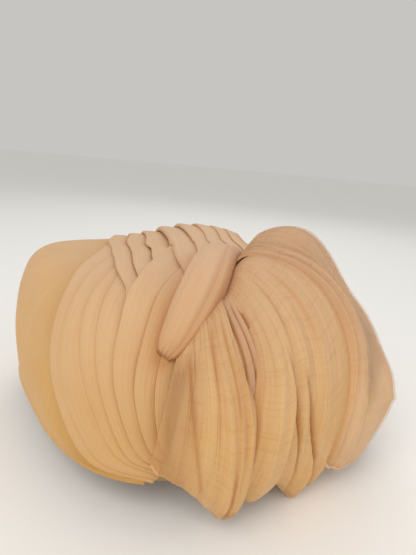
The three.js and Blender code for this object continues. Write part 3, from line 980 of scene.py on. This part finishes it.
def rolled_pleat():
    shares = np.linspace(0, 1, ROLL_ALONG)
    middle, width, lift, height = roll_rows(shares)
    tangent = np.gradient(middle, axis=0)
    tangent /= np.linalg.norm(tangent, axis=-1, keepdims=True)
    sideways = np.stack([-tangent[:, 1], tangent[:, 0]], axis=-1)
    turn = np.linspace(-math.pi / 2 - ROLL_TURN, math.pi / 2 + ROLL_TURN, ROLL_SIDES)[:, None]
    across = np.sin(turn) * width / 2
    rise = np.sign(np.cos(turn)) * np.abs(np.cos(turn)) ** 0.8 * (height + CLOTH)
    on_line = np.exp(-(((turn - LINE_PLACE) / LINE_WIDTH) ** 2)) * ramp(shares, 0.05, 0.3)
    along = shares * ROLL_LENGTH
    soft = 0.22 * ripples(91, along, across, 40, 7) + 0.04 * ripples(92, along, across, 80, 2.4)
    puckers = PUCKER_HEIGHT * np.sin(turn * PUCKERS + 3 * shares) * ramp(shares, 0.86, 1.0)
    up = lift + CLOTH + rise + (soft - ROLL_LINE * on_line + puckers) * (np.cos(turn) > 0)
    flat = middle + across[..., None] * sideways
    points = cap_point(flat[..., 0], flat[..., 1], np.maximum(up, 0.6))
    # painted shade: along the turned-under edges and the line on top, on the side towards the pouf, and
    # at the gathered end
    edges = 0.7 * np.exp(-np.maximum(np.cos(turn), 0) / 0.14) + 0.3 * on_line
    far_side = 0.6 * ramp(np.sin(turn), 0.45, 1.0) * ramp(shares, 0.1, 0.35)
    painted_shade = np.maximum(np.maximum(edges, far_side), 0.7 * ramp(shares, 0.95, 1.0))
    return cloth_sheet(
        "rolled_pleat_cloth", points, cloth_places(points), painted_shade, 0 * painted_shade, rolled_tulle,
        "rolled_pleat",
    )


rolled_pleat()

# %% [markdown]
# The pouf is the showpiece: a balloon of sheer tulle, gathered at the crossing and hanging to below
# the rim, in three overlapping parts. Its ribs fan out from the gather, and each row of a table says
# where a rib starts and ends and how far it stands off the satin on its way. Cloth simulation could
# inflate such a bag, but the folds that matter here are known, so they are placed, and the sheet
# between them is smooth. A darker lining shows in the slit between the parts.

# %% The pouf's tables
POUF_RIBS = {
    # gather x and y, end angle and reach, sideways bow, then the lifts at the start, near the
    # gather, at the shoulder and on the wall
    "pouf_front": [
        [74, -46, -37, 143, 0, 4, 7, 9, 10],
        [73, -42, -32, 147, 0, 5, 10, 14, 14],
        [71, -38, -27.5, 153, 0, 6, 13, 20, 20],
        [70, -34, -23, 163, 0, 7, 14, 24, 24],
        [68, -30, -20, 167, 1, 7, 14, 23, 23],
        [66, -26, -17, 158, 2, 7, 12, 19, 21],
    ],
    "pouf_middle": [
        [66, -25, -18.5, 158, 2, 6, 11, 18, 18],
        [64, -20, -13, 162, 3, 8, 15, 24, 24],
        [59, -14, -6, 159, 2, 8, 17, 23, 22],
        [54, -7, 3, 172, 3, 8, 19, 24, 23],
        [50, -1, 12, 169, 4, 8, 19, 21, 21],
        [46, 6, 24, 161, 6, 8, 17, 15, 16],
        [43, 13, 36, 141, 0, 8, 12, 9, 8],
    ],
    "pouf_veil": [
        [53, -9, 12, 158, 12, 8, 20, 22.5, 22],
        [52, -7, 15, 159, 10, 8, 24, 26.5, 26],
        [51, -3, 20, 161, 5, 9, 27, 23.5, 26.5],
        [48, 5, 31, 157, 0, 14, 31, 14.5, 28.5],
        [45, 12, 43, 154, 0, 14, 30, 9, 22],
        [43, 20, 57, 153, 0, 6, 21, 9, 13],
        [42, 30, 69, 151, 0, 4, 10, 7, 7],
    ],
    "pouf_lining": [
        [74, -40, -33, 139, 0, 4, 5, 7, 8],
        [68, -29, -20, 150, 0, 5, 10, 16, 12],
        [62, -16, -6, 152, 0, 5, 11, 16, 12],
        [54, -2, 12, 150, 0, 5, 9, 11, 11],
        [46, 12, 36, 138, 0, 4, 6, 5, 6],
        [44, 24, 58, 140, 0, 4, 7, 5, 5],
    ],
}
POUF_CURL = {"pouf_front": 0.3, "pouf_middle": 0.3, "pouf_veil": 0.68, "pouf_lining": 0.4}
# how far each part's first and last edge are drawn in towards the satin, and over what width
POUF_DRAW_IN = {
    "pouf_front": (3.0, 3.0),
    "pouf_middle": (3.0, 0.0),
    "pouf_veil": (5.0, 6.0),
    "pouf_lining": (4.0, 3.0),
}
DRAW_IN_WIDTH = 4.0
# how far the edges of two parts stand apart sideways, which opens the slit between them
POUF_OPENING = {"pouf_front": (0.0, -5.0), "pouf_middle": (3.5, 0.0)}
OPENING_WIDTH = 14.0
OPENING_END = 0.46  # share of the way from the gather to the bottom
POUF_EDGE_LIFT = 6.0
POUF_FOLDS = {
    # share across at the gather and at the bottom, start and end of the fold, depth and width in
    # mm; a ridge has a depth below 0
    "pouf_front": [
        [0.16, 0.48, 0.08, 0.95, -1.0, 0.7],
        [0.12, 0.44, 0.08, 0.95, 0.5, 1.2],
        [0.52, 0.40, 0.02, 0.35, 0.5, 1.2],
        [0.70, 0.66, 0.03, 0.45, 0.5, 1.0],
        [0.62, 0.70, 0.55, 1.00, 0.5, 1.4],
    ],
    "pouf_middle": [
        [0.15, 0.44, 0.28, 0.92, 2.4, 0.9],
        [0.17, 0.60, 0.38, 0.94, 4.2, 1.0],
        [0.22, 0.66, 0.38, 0.92, -0.8, 1.2],
        [0.12, 0.06, 0.15, 0.80, -0.7, 0.8],
        [0.30, 0.30, 0.05, 0.35, 0.4, 1.0],
        [0.45, 0.47, 0.05, 0.40, 0.3, 1.0],
    ],
    "pouf_veil": [
        [0.10, 0.05, 0.06, 0.60, 0.4, 1.2],
        [0.24, 0.18, 0.08, 0.70, 0.35, 1.4],
        [0.40, 0.30, 0.08, 0.60, 0.4, 1.4],
        [-1.56, 1.24, 0.54, 0.82, -1.2, 3.6],
        [0.62, 0.60, 0.15, 0.80, 0.3, 2.0],
    ],
    "pouf_lining": [
        [0.16, 0.20, 0.02, 0.90, 1.2, 0.8],
        [0.22, 0.25, 0.02, 0.90, 1.6, 0.7],
        [0.26, 0.30, 0.02, 0.90, 1.2, 0.6],
        [0.30, 0.33, 0.02, 0.90, 1.6, 0.8],
        [0.36, 0.38, 0.10, 1.00, 1.5, 0.8],
        [0.45, 0.44, 0.10, 1.00, 2.0, 1.0],
    ],
}
POUF_GRID = (170, 150)
NET_GRID = (110, 100)
NET_LIFT = 1.2  # off the veil, and where it starts
NET_START = 0.5
REACH = 3  # column of the ribs' table
OUTER_ROWS = 6.3  # rows of a rib's way before its edge turns under
BOW_POWER = 0.7
EDGE_LINE = 0.8  # width of the light line along a side edge, where the painted shade is taken away
GATHERS = 34
BROAD_WAVES = 7
GATHER_SHADE = 7.0  # how far the painted shade at the gather reaches
GATHER_SHARE = 0.12  # and the small pleats there, as a share of the way
SHADE_SHARE = 0.25
POUF_LEAST_LIFT = 0.6
POUF_SPAN = 60.0  # about how wide a part of the pouf is at half its length
print("ribs:", {name: len(rows) for name, rows in POUF_RIBS.items()})


# %% The pouf's ribs
def rib_run(name, columns, along):
    """The way of each rib over the satin: its distance from the gather and its lift."""
    _, _, _, reach, _, start, puff, shoulder, low = columns
    curl = POUF_CURL[name]
    edge_lift = np.maximum(low * curl, POUF_EDGE_LIFT)
    way_and_lift = [
        # share of the reach, lift
        (0, start),
        (0.05, mix(start, puff, 0.7)),
        (0.16, puff),
        (0.38, shoulder),
        (0.7, low),
        (0.9, low * mix(1, curl, 0.3)),
        (1, low * mix(1, curl, 0.75)),
        # the edge curls back under
        (0.975, edge_lift),
        (0.93, edge_lift * 0.5),
    ]
    control = np.stack(
        [np.stack([share * reach, lift], axis=-1) for share, lift in way_and_lift], axis=1
    )
    shares = np.linspace(0, 1, along)
    run = smooth_curve(control, shares)
    outer = shares < OUTER_ROWS / (len(way_and_lift) - 1)
    return run[..., 0], run[..., 1], outer[None, :]


def rib_places(name, columns, s, way, outer):
    """Where each rib lies on the unrolled cap."""
    gather_x, gather_y, angle, reach, bow = (column[:, None] for column in columns[:5])
    angle = np.radians(angle)
    bowed = bow * np.sin(math.pi * np.clip(way, 0, 1) ** BOW_POWER)
    opened = np.sin(math.pi * np.clip(way / OPENING_END, 0, 1)) * outer
    for opening, from_edge in zip(POUF_OPENING.get(name, ()), (s, 1 - s)):
        bowed = bowed + opening * opened * (1 - ramp(from_edge * POUF_SPAN, 0, OPENING_WIDTH))
    x = mix(gather_x, reach * np.cos(angle), way) - bowed * np.sin(angle)
    y = mix(gather_y, reach * np.sin(angle), way) + bowed * np.cos(angle)
    return x, y


# %% The pouf's folds and gathers
def add_folds(name, s, way, wide, outer, lift, painted_shade):
    """s is the share across the sheet, way the share of its reach, wide its width there."""
    for at_top, at_bottom, opens, closes, depth, width in POUF_FOLDS[name]:
        off = (s - mix(at_top, at_bottom, way)) * wide
        window = ramp(way, opens, opens + 0.15) * (1 - 0.6 * ramp(way, closes - 0.1, closes))
        shape = 1 / (1 + (off / width) ** 2) * window * outer
        lift = lift - depth * shape
        # painted shade in the folds; a ridge takes some of it away
        if depth > 0:
            painted_shade = np.maximum(painted_shade, min(depth, 1) * shape**1.5)
        else:
            painted_shade = painted_shade + 0.5 * depth * shape**1.5
    for draw_in, from_edge in zip(POUF_DRAW_IN[name], (s, 1 - s)):
        near_edge = 1 - ramp(from_edge * wide, 0, DRAW_IN_WIDTH)
        lift = lift - draw_in * near_edge * ramp(way, 0, 0.2)
    return lift, painted_shade


def add_gathers(seed, s, way, distance, lift, painted_shade):
    fan = ripples(seed, 0 * way, s * 100, 1, 100 / GATHERS)
    broad = ripples(seed + 1, way * 100, s * 100, 160, 100 / BROAD_WAVES)
    near_gather = np.exp(-way / GATHER_SHARE) * ramp(distance, 2, 9)
    height = 0.4 * near_gather * fan + (0.1 * fan + 0.6 * broad) * ramp(way, 0.05, 0.3)
    lift = np.maximum(lift + height, POUF_LEAST_LIFT)
    # painted shade in the hollows of the small gathers, fading away from the gather
    return lift, np.maximum(painted_shade, 0.2 * np.clip(-fan, 0, 1) * np.exp(-way / SHADE_SHARE))


# %% A sheet of the pouf
def pouf_sheet(name, seed, sheer_at, node_name, net=False, material=sheer_tulle):
    across, along = NET_GRID if net else POUF_GRID
    s = np.linspace(0, 1, across)
    columns = smooth_columns(POUF_RIBS[name], s)
    s = s[:, None]
    distance, lift, outer = rib_run(name, columns, along)
    way = distance / columns[REACH][:, None]
    x, y = rib_places(name, columns, s, way, outer)
    smooth = cap_point(x, y, lift)
    wide = np.linalg.norm(np.diff(smooth, axis=0), axis=-1).sum(axis=0)[None, :]
    # painted shade at the gather and along the edge where it turns under
    painted_shade = 0.75 * np.exp(-distance / GATHER_SHADE) + 0.25 * (way > 0.97) * outer
    if net:
        lift = lift + mix(NET_START, NET_LIFT, ramp(way, 0.02, 0.2))
    lift, painted_shade = add_folds(name, s, way, wide, outer, lift, painted_shade)
    lift, painted_shade = add_gathers(seed, s, way, distance, lift, painted_shade)
    # painted light: along the side edges the painted shade is taken away, which leaves a thin light
    # line
    edge_line = np.exp(-np.minimum(s, 1 - s) * wide / EDGE_LINE)
    edge_line = edge_line * ramp(way, 0.06, 0.2) * (1 - ramp(way, 0.8, 0.88))
    painted_shade = mix(painted_shade, -1, edge_line)
    return cloth_sheet(
        name + ("_net" if net else "_cloth"), cap_point(x, y, lift), cloth_places(smooth), painted_shade,
        sheer_at(s + 0 * way, way) * outer, material, node_name,
    )


# %% The three parts of the pouf and its lining
def front_sheer(s, way):
    tip = 0.35 * ramp(s, 0.5, 0.7) * ramp(way, 0.88, 0.93)
    return 0.72 * (1 - ramp(s, 0.03, 0.42)) * ramp(way, 0.1, 0.3) + tip


def closed(s, way):
    return 0 * s


def veil_sheer(s, way):
    uneven = way + 0.03 * np.sin(14 * s)
    window = ramp(uneven, 0.3, 0.45) * (1 - ramp(uneven, 0.5, 0.68))
    seen_through = 0.74 * window * ramp(s, 0.12, 0.3) * (1 - 0.8 * ramp(s, 0.55, 0.85))
    return np.maximum(seen_through, 0.12 * ramp(s, 0.3, 0.6))


pouf_sheet("pouf_front", 200, front_sheer, "pouf_front")
pouf_sheet("pouf_middle", 210, closed, "pouf_middle")
pouf_sheet("pouf_veil", 220, veil_sheer, "pouf_veil", material=veil_tulle)
pouf_sheet("pouf_lining", 230, closed, None, material=inner_tulle)

# %% [markdown]
# The veil's outermost layer is a single net. It lies a little off the layer below and bridges its
# folds, so the folds look soft through it.


# %% The net over the veil
def net_sheer(s, way):
    return 0.8 + 0.12 * (1 - ramp(s, 0, 0.08))


pouf_sheet("pouf_veil", 220, net_sheer, None, net=True, material=net_tulle)

# %% [markdown]
# Small stitches hold the turned-in hem inside the rim. They repeat along a path, so Geometry Nodes
# place them: a short thread is set on points spaced evenly along the line, turned along it, and made
# real geometry.

# %% The hem stitches' node tree
STITCHES = {"Pitch": 4.5 * MM, "Stitch length": 2.6 * MM, "Thread": 0.45 * MM}


def stitch_tree(material):
    tree, given = geometry_tree("hem_stitches", Geometry=["Geometry"], Float=STITCHES)
    line = node(tree, "GeometryNodeMeshToCurve", {"Mesh": given["Geometry"]})
    inputs = {"Curve": line.outputs[0], "Length": given["Pitch"]}
    spots = node(tree, "GeometryNodeCurveToPoints", inputs, mode="LENGTH")
    thread = node(tree, "GeometryNodeMeshUVSphere", {"Segments": 8, "Rings": 6, "Radius": 0.5})
    inputs = {"X": given["Thread"], "Y": given["Thread"], "Z": given["Stitch length"]}
    scale = node(tree, "ShaderNodeCombineXYZ", inputs)
    placed = node(
        tree,
        "GeometryNodeInstanceOnPoints",
        {
            "Points": spots.outputs["Points"],
            "Instance": thread.outputs["Mesh"],
            "Rotation": spots.outputs["Rotation"],
            "Scale": scale.outputs[0],
        },
    )
    return finish_tree(tree, placed.outputs[0], material)


# %% The hem stitches
HEM_STITCH_HEIGHT = 6.0
HEM_STITCH_LIFT = -3.3
stitch_angles = np.linspace(0, 2 * math.pi, 240, endpoint=False)
stitch_length = RIM - HEM_STITCH_HEIGHT
stitch_line = cap_point(
    stitch_length * np.cos(stitch_angles),
    stitch_length * np.sin(stitch_angles),
    np.full(len(stitch_angles), HEM_STITCH_LIFT),
)
line_mesh = bpy.data.meshes.new("hem_line")
line_edges = [(i, (i + 1) % len(stitch_line)) for i in range(len(stitch_line))]
line_mesh.from_pydata((stitch_line * MM).tolist(), line_edges, [])
hem_stitches = from_nodes("hem_stitches", stitch_tree(worn_satin), STITCHES, line_mesh)
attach(hem_stitches, "root")

# %% [markdown]
# The camera stands where the photographer's did. Its place and its three directions are in the
# turban's own frame, and its lens gives the field of view of a picture 416 pixels wide.

# %% The camera
CAMERA_PLACE = (0.2128, -0.1371, 0.1329)
CAMERA_RIGHT = (0.5713, 0.8158, 0.0897)
CAMERA_UP = (-0.2631, 0.0785, 0.9616)
CAMERA_BACK = (0.7778, -0.5718, 0.2608)
camera_data = bpy.data.cameras.new("camera")
camera_data.sensor_fit = "HORIZONTAL"
camera_data.sensor_width = 36.0
camera_data.lens = 36.0
camera = add_object("camera", camera_data)
turned = Matrix((CAMERA_RIGHT, CAMERA_UP, CAMERA_BACK)).transposed().to_4x4()
camera.matrix_world = Matrix.Translation(CAMERA_PLACE) @ turned
bpy.context.scene.camera = camera
print("camera at", [round(value, 3) for value in camera.location])

# %% [markdown]
# A plain pale floor lies just under the pouf's lowest fold. One large soft light stands above and in
# front, a weaker one fills the other side, and the pale world lights the rest. The view transform is
# the plain sRGB one, so that the cloth's hex colours come out as they were picked.

# %% The floor
FLOOR_GAP = 0.0015
FLOOR_Z = CAD_BOX[0][2] - FLOOR_GAP
FLOOR_SIZE = 40.0
floor_mesh = bpy.data.meshes.new("floor")
half = FLOOR_SIZE / 2
corner_signs = ((-1, -1), (1, -1), (1, 1), (-1, 1))
floor_corners = [(x * half, y * half, FLOOR_Z) for x, y in corner_signs]
floor_mesh.from_pydata(floor_corners, [], [(0, 1, 2, 3)])
floor = add_object("floor", floor_mesh)
floor_material = bpy.data.materials.new("pale_floor")
floor_material.use_nodes = True
floor_shader = floor_material.node_tree.nodes["Principled BSDF"]
floor_shader.inputs["Base Color"].default_value = linear("#FBFAF7")
floor_shader.inputs["Roughness"].default_value = 0.9
floor_mesh.materials.append(floor_material)

# %% The lights
LIGHTS = [
    # name, place, size, watts
    ("key", (0.42, -0.65, 0.8), 0.7, 4.7),
    ("fill", (0.9, 0.5, 0.5), 0.9, 1.5),
    ("back", (-0.6, 0.6, 0.9), 0.8, 2.0),
]
LOOK_AT = np.array([0.0, 0.0, 0.03])
for name, place, size, watts in LIGHTS:
    light_data = bpy.data.lights.new(name, "AREA")
    light_data.size = size
    light_data.energy = watts
    light = add_object(name, light_data)
    back = np.array(place) - LOOK_AT
    back /= np.linalg.norm(back)
    side = np.cross([0, 0, 1], back)
    side /= np.linalg.norm(side)
    turned = Matrix((side, np.cross(back, side), back)).transposed().to_4x4()
    light.matrix_world = Matrix.Translation(place) @ turned
world = bpy.data.worlds.new("studio")
world.use_nodes = True
world.node_tree.nodes["Background"].inputs["Color"].default_value = linear("#EFEDEA")
world.node_tree.nodes["Background"].inputs["Strength"].default_value = 0.66
bpy.context.scene.world = world
bpy.context.scene.view_settings.view_transform = "Standard"
print("lights:", [row[0] for row in LIGHTS])
